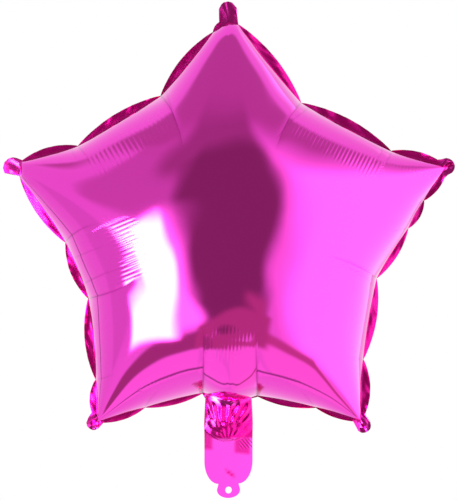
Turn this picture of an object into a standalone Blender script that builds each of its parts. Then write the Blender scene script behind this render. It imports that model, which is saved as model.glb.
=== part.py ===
# Star-shaped party balloon of metallised film, filled, with its flat filling tail.
# Two sheets of film are heat-sealed all round a five-pointed star. Filled, the straight seam of the flat
# star is too long for the swollen bag, so it gathers: the seam is drawn in at a gather, stands out between
# two of them, and throws pleats across the film. The tail has the same two sheets: a crumpled neck that
# the gas came in by, a flat tab, and a rounded ear with the eyelet that the balloon is tied by.
# The eyelet's centre is the origin, +Z is up and the front of the balloon faces -Y.

import math
from collections import namedtuple

import bmesh
import bpy
import numpy as np
from mathutils import Matrix

# Driving sizes, in metres
TIP_RADIUS = 0.197          # star's centre to the end of the filled film in a tip
NOTCH_RADIUS = 0.135        # star's centre to the seam in a notch
HALF_DEPTH = 0.090          # seam plane to the film at the star's centre
FILM = 0.0010               # the two sealed sheets together, drawn thicker than real film
MARGIN = 0.0008             # sealed margin outside the seam at a gather
KNOB_FAN = 0.0110           # the margin's folds fan out over this length on each side of a tip
NECK_WIDTH = 0.0405
NECK_LENGTH = 0.0400
NECK_DEPTH = 0.0240         # front to back where the neck leaves the star
NECK_BOW = 0.0110           # how much further down the neck is open along its middle
TAB_WIDTH = 0.0436
TAB_LENGTH = 0.0390
TAB_CORNER = 0.0200
TAB_TURN = math.radians(14)  # the tab hangs turned a little to the right; the ear faces forward
WAIST_WIDTH = 0.0184        # where the tab passes into the ear
EAR_WIDTH = 0.0208
EAR_DROP = 0.0070           # eyelet's centre down to the end of the ear
EAR_RISE = 0.0056           # eyelet's centre up to the foot of the tab
EYELET = 0.0060             # diameter

# Folds, in metres or as a share of the film's rise at that place
CREASE_PINCH = 0.14         # share of the rise that a crease takes away at the seam
CREASE_WIDTH = 0.0050
PLEAT_SHARE = 0.022
PLEAT_REACH = 0.034         # how far the pleats run in from the seam
MARGIN_CURL = 0.0018        # how far the margin's edge waves off the seam plane
MARGIN_WAVES = 3            # half waves in each stretch of the margin
KNOB_CRUMPLE = 0.0016       # height of the folds on the knobs round the tips
NECK_FULLNESS = 0.5         # the lower this is, the further down the neck stays round
COLUMN_RISE = 0.0030        # the film above the neck stands out like a half pipe
COLUMN_HEIGHT = 0.066
COLUMN_ARCH = 0.2           # how much lower the half pipe's round top is at its sides
CRUMPLE = 0.0036            # height of the folds on the neck
CRUMPLE_FADE = 0.25         # share of the neck over which they fade in at either end
# Each set of folds on the neck: folds across it, folds in each metre down it, start, share of the height
NECK_FOLDS = ((0.8, 62.0, 0.0, 0.6), (1.35, -95.0, 0.3, 0.4))

# Facets
TIPS = 5
RINGS = 15
CROWDING = 0.5              # how much closer the facets stand at the gathers than between them
NECK_ROWS = 10
TAB_ROWS = 2
CORNER_ROWS = 4
WAIST_ROWS = 2
EAR_ROWS = 4
EAR_END = math.radians(80)  # the ear's round stops short of a point
EYELET_SIDES = 24

FOIL_COLOUR = (0.80, 0.03, 0.42, 1.0)
FOIL_ROUGHNESS = 0.16

# The seam, clockwise from the top tip as seen from the front. Angles are in degrees, lengths in
# millimetres: drawn_in is from the flat star's straight side, bulge is what the margin gains half way
# to the next point, crease is the way to the end of the valley that runs in from the point (across, up),
# and pleated says that pleats fill the stretch to the next point.
SeamPoint = namedtuple("SeamPoint", "angle drawn_in bulge columns crease pleated")
SEAM = (
    SeamPoint(0.0, 6.5, 4.5, 3, None, False),
    SeamPoint(2.6, 0.3, 7.0, 9, None, False),
    SeamPoint(28.4, 5.8, 7.5, 20, (-23, -43), True),
    SeamPoint(62.1, 5.8, 5.0, 7, (-12, -18), False),
    SeamPoint(72.2, -5.7, 2.5, 4, None, False),
    SeamPoint(79.3, -1.1, 4.0, 3, (-13, -7), False),
    SeamPoint(87.1, -1.2, 3.0, 6, (-18, -3), False),
    SeamPoint(105.5, 1.3, 6.0, 8, (-46, 20), False),
    SeamPoint(132.2, 3.6, 5.0, 7, (-18, 5), False),
    SeamPoint(144.2, -3.3, 3.0, 6, None, False),
    SeamPoint(152.8, 2.0, 4.0, 6, (-14, 18), False),
    SeamPoint(169.8, 1.0, 0.0, 10, (-2, 58), False),
    SeamPoint(189.3, 3.2, 4.0, 6, (1, 58), False),
    SeamPoint(206.2, 1.0, 4.5, 6, (14, 18), False),
    SeamPoint(215.4, -4.9, 3.0, 5, None, False),
    SeamPoint(223.0, 3.7, 6.5, 8, (18, 7), False),
    SeamPoint(246.4, 4.2, 6.0, 13, (44, 19), True),
    SeamPoint(268.2, 6.5, 6.0, 8, (31, 16), False),
    SeamPoint(286.1, -0.9, 2.0, 3, (16, -8), False),
    SeamPoint(289.8, -4.4, 6.5, 7, None, False),
    SeamPoint(301.2, 5.8, 7.0, 17, (15, -17), True),
    SeamPoint(334.4, 5.0, 6.5, 8, (21, -48), False),
    SeamPoint(355.7, 1.4, 4.0, 3, None, False),
)

# Round each tip the margin is a crumpled knob: its seam point, its centre from there and its radius
Knob = namedtuple("Knob", "point across up radius")
KNOBS = (
    Knob(0, -0.5, 9.2, 8.2),
    Knob(4, 0.6, 1.6, 6.6),
    Knob(9, 2.0, -3.6, 6.8),
    Knob(14, -3.0, -0.6, 6.6),
    Knob(19, -7.6, -4.2, 8.6),
)
NECK_POINT = 11             # the neck leaves the star between this point and the next
MM = 0.001


def flat_star_radius(angle):
    # Star's centre to the straight side of the flat star
    half = math.pi / TIPS
    turn = abs((angle + half) % (2 * half) - half)
    reach = NOTCH_RADIUS * math.sin(half - turn) + TIP_RADIUS * math.sin(turn)
    return TIP_RADIUS * NOTCH_RADIUS * math.sin(half) / reach


def seam_position(point):
    # Place of a seam point from the star's centre, across and up
    angle = math.radians(point.angle)
    radius = flat_star_radius(angle) - point.drawn_in * MM
    return np.array((radius * math.sin(angle), radius * math.cos(angle)))


def outward(a, b):
    # Unit vector out of the star, square to a clockwise stretch of its seam
    along = (b - a) / np.linalg.norm(b - a)
    return np.array((-along[1], along[0]))


def knob_reach(spot, way, tip, knob):
    # Length of margin from a spot on the seam to the knob's round edge
    middle = tip + MM * np.array((knob.across, knob.up))
    along = way @ (middle - spot)
    left = (knob.radius * MM) ** 2 - (middle - spot) @ (middle - spot) + along ** 2
    return along + math.sqrt(left) if left > 0 else 0.0


def margin_edge(spot, after, wide, tips):
    # Edge of the margin outside a spot on the seam, and how much of it is a knob. Each nearby tip is
    # given as its place, its outward way, its knob and the spot's distance from it.
    best = (spot + after * wide, 0.0)
    for tip, corner, knob, away in tips:
        turned = 1 - away / KNOB_FAN
        if turned <= 0:
            continue
        way = after * (1 - turned) + corner / np.linalg.norm(corner) * turned
        way /= np.linalg.norm(way)
        reach = knob_reach(spot, way, tip, knob)
        if reach > wide:
            best = (spot + way * reach, math.sqrt(turned))
    return best


def lay_out_seam():
    # One entry for each column of facets: its seam point, its margin's edge and its place in the stretch
    spots = [seam_position(point) for point in SEAM]
    knobs = {knob.point: knob for knob in KNOBS}
    count = len(SEAM)
    seam = []
    edge = []
    curl = []
    pleat = []
    owner = []
    for index, point in enumerate(SEAM):
        following = (index + 1) % count
        a = spots[index]
        b = spots[following]
        after = outward(a, b)
        corner = outward(spots[index - 1], a) + after
        next_corner = after + outward(b, spots[(index + 2) % count])
        length = np.linalg.norm(b - a)
        for step in range(point.columns):
            share = step / point.columns
            if not point.pleated:
                share -= CROWDING * math.sin(2 * math.pi * share) / (2 * math.pi)
            swell = math.sin(math.pi * share)
            place = a + (b - a) * share
            side = 1 if step % 2 else -1
            tips = []
            if index in knobs:
                tips.append((a, corner, knobs[index], share * length))
            if following in knobs:
                tips.append((b, next_corner, knobs[following], (1 - share) * length))
            end, knob = margin_edge(place, after, MARGIN + MM * point.bulge * swell, tips)
            wave = MARGIN_CURL * swell * math.sin(MARGIN_WAVES * math.pi * share)
            seam.append(place)
            edge.append(end)
            curl.append(wave * (1 - knob) + KNOB_CRUMPLE * side * knob)
            pleat.append(side * math.sqrt(swell) if point.pleated else 0.0)
            owner.append(index)
    return np.array(seam), np.array(edge), np.array(curl), np.array(pleat), owner


def film_squares(x, z, rim_squares, load):
    # Square of the film's rise, which is round across an arm and flattens towards a tip. It solves
    # the membrane equation on the facets, with the cotangent of each corner as its edge's weight.
    rings, columns = x.shape
    number = 1 + np.arange(rings * columns).reshape(rings, columns)
    right = np.roll(number, -1, axis=1)
    fan = np.stack((np.zeros(columns, int), number[0], right[0]), axis=1)
    lower = np.stack((number[:-1], number[1:], right[1:]), axis=-1).reshape(-1, 3)
    upper = np.stack((number[:-1], right[1:], right[:-1]), axis=-1).reshape(-1, 3)
    corners = np.concatenate((fan, lower, upper))
    spots = np.zeros((1 + rings * columns, 2))
    spots[1:, 0] = x.ravel()
    spots[1:, 1] = z.ravel()
    area = np.zeros(len(spots))
    ends = []
    weights = []
    for turn in range(3):
        a, b, c = (corners[:, (turn + shift) % 3] for shift in range(3))
        u = spots[b] - spots[a]
        v = spots[c] - spots[a]
        cross = np.abs(u[:, 0] * v[:, 1] - u[:, 1] * v[:, 0])
        ends.append(np.stack((b, c), axis=1))
        weights.append((u * v).sum(axis=1) / cross / 2)
        area += np.bincount(a, cross / 6, len(spots))
    ends = np.concatenate(ends)
    weights = np.concatenate(weights)

    def stiffness(values):
        flow = weights * (values[ends[:, 0]] - values[ends[:, 1]])
        return np.bincount(ends[:, 0], flow, len(spots)) - np.bincount(ends[:, 1], flow, len(spots))

    free = np.ones(len(spots), bool)
    free[number[-1]] = False
    squares = np.zeros(len(spots))
    squares[number[-1]] = rim_squares
    error = (load * area - stiffness(squares)) * free
    step = error.copy()
    size = error @ error
    start = size
    while size > start * 1e-14:
        push = stiffness(step) * free
        share = size / (step @ push)
        squares += share * step
        error -= share * push
        fresh = error @ error
        step = error + step * fresh / size
        size = fresh
    return squares[0], squares[1:].reshape(rings, columns)


def pinch(x, z):
    # Share of the rise left by the creases, which run in from the gathers
    left = np.ones(x.shape)
    for point in SEAM:
        if point.crease:
            start = seam_position(point)
            length = np.linalg.norm(point.crease) * MM
            inward = np.array(point.crease) * MM / length
            run = (x - start[0]) * inward[0] + (z - start[1]) * inward[1]
            side = (x - start[0]) * inward[1] - (z - start[1]) * inward[0]
            fade = np.clip(1 - np.maximum(run, 0) / length, 0, 1)
            left *= 1 - CREASE_PINCH * fade * np.exp(-(side / CREASE_WIDTH) ** 2)
    return left


def neck_column(x, z, corner, opposite):
    # Above the neck, between its two long creases, the film stands out like a half pipe with a round top
    half = (corner[0] - opposite[0]) / 2
    across = (x - opposite[0]) / half - 1
    up = (z - (corner[1] + opposite[1]) / 2) / COLUMN_HEIGHT
    inside = np.clip(1 - up - COLUMN_ARCH * across ** 2, 0, 1)
    return COLUMN_RISE * np.sqrt(np.clip(1 - across ** 2, 0, 1)) * np.sqrt(inside)


def neck_section(across):
    # Half depth of the neck where it leaves the star, for places across it from -1 to 1
    return FILM / 2 + (NECK_DEPTH - FILM) / 2 * np.sqrt(np.clip(1 - across ** 2, 0, None))


def star_film():
    # Places and half depths of the bag's facet corners, ring by ring from the centre, then the margin
    seam, edge, curl, pleat, owner = lay_out_seam()
    share = np.sin(np.linspace(0, math.pi / 2, RINGS + 1))[1:, None]
    x = share * seam[:, 0]
    z = share * seam[:, 1]
    first = owner.index(NECK_POINT)
    last = owner.index(NECK_POINT + 1)
    rim = np.full(len(seam), FILM / 2)
    rim[first:last + 1] = neck_section(np.linspace(-1, 1, last - first + 1))
    plain, _ = film_squares(x, z, np.zeros(len(seam)), 1.0)
    centre, squares = film_squares(x, z, rim ** 2, HALF_DEPTH ** 2 / plain)
    inward = np.linalg.norm(seam, axis=1) * (1 - share)
    fade = np.clip(1 - inward / PLEAT_REACH, 0, 1)
    folds = 1 + PLEAT_SHARE * pleat * fade
    swollen = np.sqrt(np.clip(squares, 0, None)) * folds * pinch(x, z)
    rise = swollen + neck_column(x, z, seam[first], seam[last])
    rise[-1] = rim
    return x, z, math.sqrt(centre), rise, edge, curl, first, last


def tail_rows():
    # Height, half width and openness of each row of the tail, from the neck's top to the ear's end
    rows = []
    for step in range(1, NECK_ROWS + 1):
        share = step / NECK_ROWS
        half = (NECK_WIDTH + (TAB_WIDTH - NECK_WIDTH) * share) / 2
        rows.append((EAR_RISE + TAB_LENGTH + NECK_LENGTH * (1 - share), half))
    for step in range(1, TAB_ROWS + 1):
        share = step / TAB_ROWS
        rows.append((EAR_RISE + TAB_CORNER + (TAB_LENGTH - TAB_CORNER) * (1 - share), TAB_WIDTH / 2))
    for step in range(1, CORNER_ROWS + 1):
        turn = math.pi / 2 * step / CORNER_ROWS
        half = WAIST_WIDTH / 2 + (TAB_WIDTH - WAIST_WIDTH) / 2 * math.cos(turn)
        rows.append((EAR_RISE + TAB_CORNER * (1 - math.sin(turn)), half))
    for step in range(1, WAIST_ROWS + 1):
        share = step / WAIST_ROWS
        half = WAIST_WIDTH / 2 + (EAR_WIDTH - WAIST_WIDTH) / 2 * (1 - math.cos(math.pi * share)) / 2
        rows.append((EAR_RISE * (1 - share), half))
    for step in range(1, EAR_ROWS + 1):
        turn = EAR_END * step / EAR_ROWS
        drop = EAR_DROP * math.sin(turn) / math.sin(EAR_END)
        rows.append((-drop, EAR_WIDTH / 2 * math.cos(turn)))
    return rows


def zigzag(value):
    # Straight-sided wave of height 1 and period 1
    return abs((value % 1) - 0.5) * 4 - 1


def tail_depths(across, height):
    # Half depth of the tail, and how far its folds push both sheets, at a place across it and a height
    down = EAR_RISE + TAB_LENGTH + NECK_LENGTH - height
    reach = NECK_LENGTH - NECK_BOW * across ** 2
    opened = min(max(1 - down / reach, 0), 1)
    section = (neck_section(across) - FILM / 2) * opened ** NECK_FULLNESS
    hold = min(opened / CRUMPLE_FADE, 1) * min(down / (NECK_LENGTH * CRUMPLE_FADE), 1) * (1 - across ** 2)
    fold = 0
    for wide, long, start, share in NECK_FOLDS:
        fold += share * zigzag(wide * across + long * height + start)
    return FILM / 2 + section, CRUMPLE * hold * fold


def tail_turn(height):
    # How far the tail is turned about +Z: the neck takes up the tab's turn, and the tab's foot loses it
    neck = (EAR_RISE + TAB_LENGTH + NECK_LENGTH - height) / NECK_LENGTH
    foot = (height - EAR_RISE) / TAB_CORNER
    return TAB_TURN * min(max(neck, 0), 1) * min(max(foot, 0), 1)


def lay_out_corners():
    # Every facet corner of the front sheet: across, up, half depth and bend, by ring and column
    x, z, centre, rise, edge, curl, first, last = star_film()
    lift = EAR_RISE + TAB_LENGTH + NECK_LENGTH - z[-1, first:last + 1].mean()
    corners = {(0, 0): (0.0, lift, centre, 0.0)}
    rings, columns = x.shape
    for ring in range(rings):
        for column in range(columns):
            corners[ring + 1, column] = (x[ring, column], z[ring, column] + lift, rise[ring, column], 0.0)
    for column in range(columns):
        corners[RINGS + 1, column] = (edge[column, 0], edge[column, 1] + lift, FILM / 2, curl[column])
    for row, (height, half) in enumerate(tail_rows()):
        for column in range(first, last + 1):
            across = 1 - 2 * (column - first) / (last - first)
            deep, bend = tail_depths(across, height)
            corners[RINGS + 1 + row, column] = (across * half, height, deep, bend)
    return corners, columns, first, last


def film_sheet(bm, columns, first, last):
    # Flat disc with a unit for each ring, whose neck stretch is drawn on, row by row, for the tail
    bmesh.ops.create_circle(bm, cap_ends=True, cap_tris=True, segments=columns, radius=1)
    edges = [edge for edge in bm.edges if edge.is_boundary]
    tail = len(tail_rows())
    for ring in range(2, RINGS + tail + 1):
        drawn = bmesh.ops.extrude_edge_only(bm, edges=edges)["geom"]
        for vert in drawn:
            if isinstance(vert, bmesh.types.BMVert):
                vert.co *= ring / (ring - 1)
        low, high = (first, last) if ring > RINGS else (0, columns)
        edges = [item for item in drawn if isinstance(item, bmesh.types.BMEdge)]
        edges = [edge for edge in edges if on_ring(edge, ring, low, high, columns)]


def slot(vert, columns):
    # Ring and column of a corner of the flat disc, clockwise from straight up
    ring = round(vert.co.length)
    turn = math.atan2(vert.co.x, vert.co.y) / (2 * math.pi)
    return ring, round(turn * columns) % columns if ring else 0


def on_ring(edge, ring, low, high, columns):
    # Whether both ends of an edge lie on a ring, between two columns
    ends = [slot(vert, columns) for vert in edge.verts]
    return all(end[0] == ring and low <= end[1] <= high for end in ends)


def foil_material():
    material = bpy.data.materials.new("metallised_film")
    material.use_nodes = True
    shader = material.node_tree.nodes["Principled BSDF"]
    shader.inputs["Base Color"].default_value = FOIL_COLOUR
    shader.inputs["Metallic"].default_value = 1.0
    shader.inputs["Roughness"].default_value = FOIL_ROUGHNESS
    material.diffuse_color = FOIL_COLOUR
    return material


def add_object(name, bm):
    mesh = bpy.data.meshes.new(name)
    bm.to_mesh(mesh)
    bm.free()
    body = bpy.data.objects.new(name, mesh)
    bpy.context.scene.collection.objects.link(body)
    return body


def eyelet_cutter():
    bm = bmesh.new()
    bmesh.ops.create_cone(
        bm, cap_ends=True, segments=EYELET_SIDES, radius1=EYELET / 2, radius2=EYELET / 2, depth=FILM * 8)
    bmesh.ops.rotate(bm, verts=bm.verts, matrix=Matrix.Rotation(math.pi / 2, 3, "X"))
    cutter = add_object("eyelet_cutter", bm)
    cutter.hide_render = True
    cutter.display_type = "WIRE"
    return cutter


def balloon():
    corners, columns, first, last = lay_out_corners()
    bm = bmesh.new()
    film_sheet(bm, columns, first, last)
    copied = bmesh.ops.extrude_face_region(bm, geom=list(bm.faces), use_keep_orig=True)["geom"]
    back = {item for item in copied if isinstance(item, bmesh.types.BMVert)}
    for vert in bm.verts:
        place = slot(vert, columns)
        across, up, deep, bend = corners[place]
        vert.co = (across, (deep if vert in back else -deep) + bend, up)
        if place[0] > RINGS and first <= place[1] <= last:
            vert.co.rotate(Matrix.Rotation(tail_turn(up), 3, "Z"))
    bmesh.ops.recalc_face_normals(bm, faces=bm.faces)
    body = add_object("foil_star_balloon", bm)
    body.data.materials.append(foil_material())
    body.data.shade_smooth()
    body.data.set_sharp_from_angle(angle=math.radians(50))
    hole = body.modifiers.new("eyelet", "BOOLEAN")
    hole.operation = "DIFFERENCE"
    hole.object = eyelet_cutter()
    return body


for old in list(bpy.data.objects):
    bpy.data.objects.remove(old, do_unlink=True)
balloon()
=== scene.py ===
import math

import bmesh
import bpy
import numpy as np
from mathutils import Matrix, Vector


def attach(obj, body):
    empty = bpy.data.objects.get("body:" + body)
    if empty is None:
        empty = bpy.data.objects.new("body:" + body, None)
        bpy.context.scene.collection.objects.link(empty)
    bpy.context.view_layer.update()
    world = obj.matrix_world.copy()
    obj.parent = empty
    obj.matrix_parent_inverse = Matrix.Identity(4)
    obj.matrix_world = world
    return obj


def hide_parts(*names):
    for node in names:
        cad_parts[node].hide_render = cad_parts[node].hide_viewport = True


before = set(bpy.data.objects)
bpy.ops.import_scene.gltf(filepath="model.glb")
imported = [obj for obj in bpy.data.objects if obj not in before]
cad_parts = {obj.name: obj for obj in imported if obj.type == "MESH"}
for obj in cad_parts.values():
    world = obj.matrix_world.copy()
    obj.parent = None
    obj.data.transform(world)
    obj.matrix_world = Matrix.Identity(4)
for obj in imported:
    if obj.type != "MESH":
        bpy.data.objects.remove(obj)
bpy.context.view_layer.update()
print("frame loaded")

mm = 0.001

# Metres and degrees. Angles run clockwise from the top tip, as the balloon is seen from the front.
star = {
    "tips": 5,
    "tipRadius": 0.197,
    "notchRadius": 0.135,
    "halfDepth": 0.090,
    "film": 0.0007,             # the two sealed sheets, a little thicker than real film so that it shows
    "leastMargin": 0.0004,
    "rings": 50,
    "marginRings": 6,
    "columnStep": 0.0019,       # facets along the seam
    "crowding": 0.45,           # how much closer the columns stand at a gather
    "rimCrowding": 0.80,        # how much closer the rings stand at the seam
    "neckColumns": 64,
    "slackWaves": 14,           # long shallow waves that the film's slack makes
    "slackLength": (0.030, 0.090),
    "slackHeight": 0.0016,      # for each metre of a wave's length
    "sharpAngle": 50,
    "seed": 7,
}
# the front and the back sheet, and the side of the seam plane where each lies
sheets = ((0, -1), (1, 1))

# Seam points: angle, how far it is drawn in from the straight side, and margin added half way to the
# next point. Lengths are in millimetres.
seamPoints = [
    (0.0, 6.5, 4.5),
    (2.6, 0.3, 7.0),
    (28.4, 5.8, 7.5),
    (62.1, 5.8, 6.0),
    (72.2, -5.7, 4.5),
    (79.3, -1.1, 4.0),
    (87.1, -1.2, 4.8),
    (105.5, 1.3, 6.0),
    (132.2, 3.6, 7.0),
    (144.2, -3.3, 3.5),
    (152.8, 2.0, 4.0),
    (169.8, 1.0, 0.0),
    (189.3, 3.2, 4.0),
    (206.2, 1.0, 4.5),
    (215.4, -4.9, 6.0),
    (223.0, 3.7, 6.5),
    (246.4, 4.2, 6.0),
    (268.2, 6.5, 6.0),
    (286.1, -0.9, 2.0),
    (289.8, -4.4, 6.0),
    (301.2, 5.8, 7.0),
    (334.4, 5.0, 6.5),
    (355.7, 1.4, 4.0),
]
neckPoint = 11                  # the neck joins on between this seam point and the next one

# Crumpled knobs round the tips: seam point, centre from the tip (across, up), radius, all in millimetres
knobs = [
    (0, (-0.5, 9.2), 8.2),
    (4, (-0.6, 0.6), 7.6),
    (9, (2.0, -3.6), 6.8),
    (14, (-3.0, -0.6), 6.6),
    (19, (-6.6, -4.4), 9.0),
]
knobFan = 0.011                 # the margin's folds fan out over this length on each side of a tip

margin = {
    # length along the seam, lean along the seam for each metre outwards, share of the height
    "folds": ((0.031, 1.2, 1.0), (0.0125, -2.0, 0.5), (0.0085, 1.5, 0.15)),
    "foldHeight": 0.0004,
    "fullWidth": 0.004,         # the folds are lower where the margin is narrower than this
    "drift": 0.4,               # the folds' spacing drifts by this share of a fold
    "driftLength": 0.019,
    "jagged": 0.007,
    "knobCrumple": 0.0011,
    "curl": 0.12,               # towards the back, for each metre outwards
    "curlWave": 0.0012,
    "curlLength": 0.047,
    "paintedShade": 0.96,              # painted shade and reflection: how far its colour goes to the deep tint, as the crinkled margin mirrors itself
    "knobLess": 0.40,           # and how much less on the knobs
}

# Creases: start along the seam (a seam point, or a share of the way to the next one), way to the
# middle and to the end (across, up), depth, half width. Lengths are in millimetres.
creases = [
    (20.0, (7, -7), (15, -17), 0.30, 2.2),
    (19.9, (3, -7), (8, -13), 0.15, 1.8),
    (21.0, (13, -21), (21, -48), 0.45, 2.4),
    (21.1, (7, -24), (14, -44), 0.20, 2.0),
    (2.0, (-14, -20), (-23, -43), 0.45, 2.4),
    (2.1, (-19, -16), (-31, -30), 0.20, 2.0),
    (17.0, (14, 10), (31, 16), 0.50, 2.2),
    (16.7, (15, 6), (32, 12), 0.25, 1.8),
    (16.25, (22, 10), (42, 17), 0.30, 1.8),
    (16.0, (28, 9), (44, 19), 0.50, 2.2),
    (7.0, (-24, 13), (-46, 20), 0.40, 2.0),
    (7.15, (-14, 14), (-38, 25), 0.15, 1.6),
    (8.0, (-8, 2), (-18, 5), 0.25, 1.8),
    (3.0, (-5, -9), (-10, -17), 0.30, 1.8),
    (2.9, (-6, -12), (-14, -16), 0.20, 1.6),
    (12.0, (1, 27), (1, 58), 0.80, 2.6),
    (11.0, (-1, 27), (-2, 58), 0.80, 2.6),
    (13.0, (6, 9), (14, 18), 0.25, 1.8),
    (10.0, (-7, 9), (-15, 18), 0.25, 1.8),
    (15.0, (9, 3), (18, 7), 0.25, 1.8),
    (6.0, (-9, -1), (-18, -3), 0.20, 1.6),
    (5.0, (-7, -3), (-13, -7), 0.20, 1.6),
    (18.0, (8, -4), (16, -8), 0.20, 1.6),
]

# Fine pleats, at right angles to the seam: seam point, spacing, half height, where they begin and end,
# in millimetres
pleats = [
    (2, 3.4, 0.060, 11, 34),
    (3, 3.0, 0.014, 8, 16),
    (10, 3.6, 0.006, 9, 26),
    (11, 3.1, 0.016, 30, 66),
    (12, 3.6, 0.007, 9, 26),
    (15, 3.4, 0.012, 3, 18),
    (16, 3.7, 0.046, 12, 66),
    (17, 2.6, 0.010, 3, 12),
    (20, 4.2, 0.045, 12, 36),
]

tail = {
    "neckWidth": 0.0405,
    "neckLength": 0.0400,
    "neckDepth": 0.0170,
    "neckBow": 0.0110,
    "tabWidth": 0.0436,
    "tabLength": 0.0390,
    "tabCorner": 0.0200,
    "tabTurn": 14,              # the tab hangs turned a little to the right
    "waistWidth": 0.0184,
    "earWidth": 0.0208,
    "earDrop": 0.0070,
    "earRise": 0.0056,
    "eyelet": 0.0060,
    "neckRows": 62,
    "tabRows": 34,
    "cornerRows": 12,
    "earRows": 16,
    "hollowEnd": 1.04,          # where the neck's hollow ends, as a share of its length
    "crumple": 0.0009,
    "crumpleStart": 0.001,
    "crumpleFade": 0.007,
}
tabTop = tail["earRise"] + tail["tabLength"]
neckTop = tabTop + tail["neckLength"]


def smoothed(share):
    return share ** 2 * (3 - 2 * share)


def flatStarRadius(angle):
    half = math.pi / star["tips"]
    turn = abs((angle + half) % (2 * half) - half)
    reach = star["notchRadius"] * math.sin(half - turn) + star["tipRadius"] * math.sin(turn)
    return star["tipRadius"] * star["notchRadius"] * math.sin(half) / reach


def seamSpot(index):
    angle = math.radians(seamPoints[index][0])
    radius = flatStarRadius(angle) - seamPoints[index][1] * mm
    return np.array((radius * math.sin(angle), radius * math.cos(angle)))


def outward(a, b):
    along = (b - a) / np.linalg.norm(b - a)
    return np.array((-along[1], along[0]))


def knobReach(spot, way, tip, knob):
    # how far the knob's round edge lies from a spot on the seam
    middle = tip + mm * np.array(knob[1])
    toMiddle = way @ (middle - spot)
    inside = (knob[2] * mm) ** 2 - ((middle - spot) @ (middle - spot)) + toMiddle ** 2
    return toMiddle + math.sqrt(inside) if inside > 0 else 0.0


def towardsKnob(spot, after, wide, tips):
    # close to a tip the margin fans out and reaches to the knob's round edge
    way = after
    knobShare = 0.0
    for tip, knob, corner, away in tips:
        turned = max(0.0, 1 - away / knobFan)
        fan = after * (1 - turned) + corner / np.linalg.norm(corner) * turned
        fan /= np.linalg.norm(fan)
        reach = knobReach(spot, fan, tip, knob)
        if turned and reach > wide:
            way, wide, knobShare = fan, reach, turned ** 0.5
    return spot + way * wide, knobShare


def layOutSeam():
    # one row for each column: place on the seam (0, 1), place on the margin's edge (2, 3), seam point
    # (4), length along the seam (5), knob share (6)
    spots = [seamSpot(index) for index in range(len(seamPoints))]
    knobAt = {knob[0]: knob for knob in knobs}
    rows = []
    run = 0.0
    for index, (angle, drawnIn, bulge) in enumerate(seamPoints):
        a = spots[index]
        nextIndex = (index + 1) % len(spots)
        b = spots[nextIndex]
        after = outward(a, b)
        length = np.linalg.norm(b - a)
        if index == neckPoint:
            count = star["neckColumns"]
        else:
            count = max(5, round(length / star["columnStep"]))
        before = outward(spots[index - 1], a)
        beyond = outward(b, spots[(index + 2) % len(spots)])
        corners = (before + after, after + beyond)
        for column in range(count):
            share = column / count
            if index != neckPoint:
                share -= star["crowding"] * math.sin(2 * math.pi * share) / (2 * math.pi)
            spot = a + (b - a) * share
            wide = star["leastMargin"] + mm * bulge * math.sin(math.pi * share) ** 0.8
            ends = ((index, corners[0], share * length), (nextIndex, corners[1], (1 - share) * length))
            tips = [(spots[tip], knobAt[tip], corner, away) for tip, corner, away in ends if tip in knobAt]
            edge, knobShare = towardsKnob(spot, after, wide, tips)
            rows.append((*spot, *edge, index, run + share * length, knobShare))
        run += length
    return np.array(rows), run


def discTriangles(rings, columns):
    # corner numbers of the flat disc's triangles: the centre is 0, then ring after ring
    number = 1 + np.arange(rings * columns).reshape(rings, columns)
    right = np.roll(number, -1, axis=1)
    fan = np.stack((np.zeros(columns, int), number[0], right[0]), axis=1)
    lower = np.stack((number[:-1], number[1:], right[1:]), axis=-1).reshape(-1, 3)
    upper = np.stack((number[:-1], right[1:], right[:-1]), axis=-1).reshape(-1, 3)
    return np.concatenate((fan, lower, upper))


def edgeWeights(spots, corners):
    # ends and stiffness of the triangles' edges, and the area that each spot stands for
    area = np.zeros(len(spots))
    ends = []
    weights = []
    for turn in range(3):
        a, b, c = (corners[:, (turn + shift) % 3] for shift in range(3))
        u = spots[b] - spots[a]
        v = spots[c] - spots[a]
        cross = np.abs(u[:, 0] * v[:, 1] - u[:, 1] * v[:, 0])
        ends.append(np.stack((b, c), axis=1))
        weights.append((u * v).sum(axis=1) / cross / 2)
        area += np.bincount(a, cross / 6, len(spots))
    return np.concatenate(ends), np.concatenate(weights), area


def filmSquares(x, z, rim, load):
    # membrane under pressure: the square of the film's rise over the seam plane
    rings, columns = x.shape
    spots = np.zeros((1 + rings * columns, 2))
    spots[1:, 0] = x.ravel()
    spots[1:, 1] = z.ravel()
    ends, weights, area = edgeWeights(spots, discTriangles(rings, columns))
    stiff = np.bincount(ends.ravel(), np.repeat(weights, 2), len(spots))

    def pull(values):
        flow = weights * (values[ends[:, 0]] - values[ends[:, 1]])
        return np.bincount(ends[:, 0], flow, len(spots)) - np.bincount(ends[:, 1], flow, len(spots))

    free = np.ones(len(spots), bool)
    free[-columns:] = False
    squares = np.zeros(len(spots))
    squares[-columns:] = rim
    error = (load * area - pull(squares)) * free
    guess = error / stiff
    step = guess.copy()
    size = error @ guess
    start = size
    while size > start * 1e-11:
        push = pull(step) * free
        share = size / (step @ push)
        squares += share * step
        error -= share * push
        guess = error / stiff
        fresh = error @ guess
        step = guess + step * fresh / size
        size = fresh
    return squares[0], squares[1:].reshape(rings, columns)


def neckSection(across):
    deep = (tail["neckDepth"] - star["film"]) / 2
    return star["film"] / 2 + deep * np.sqrt(np.clip(1 - across ** 2, 0, None))


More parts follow.
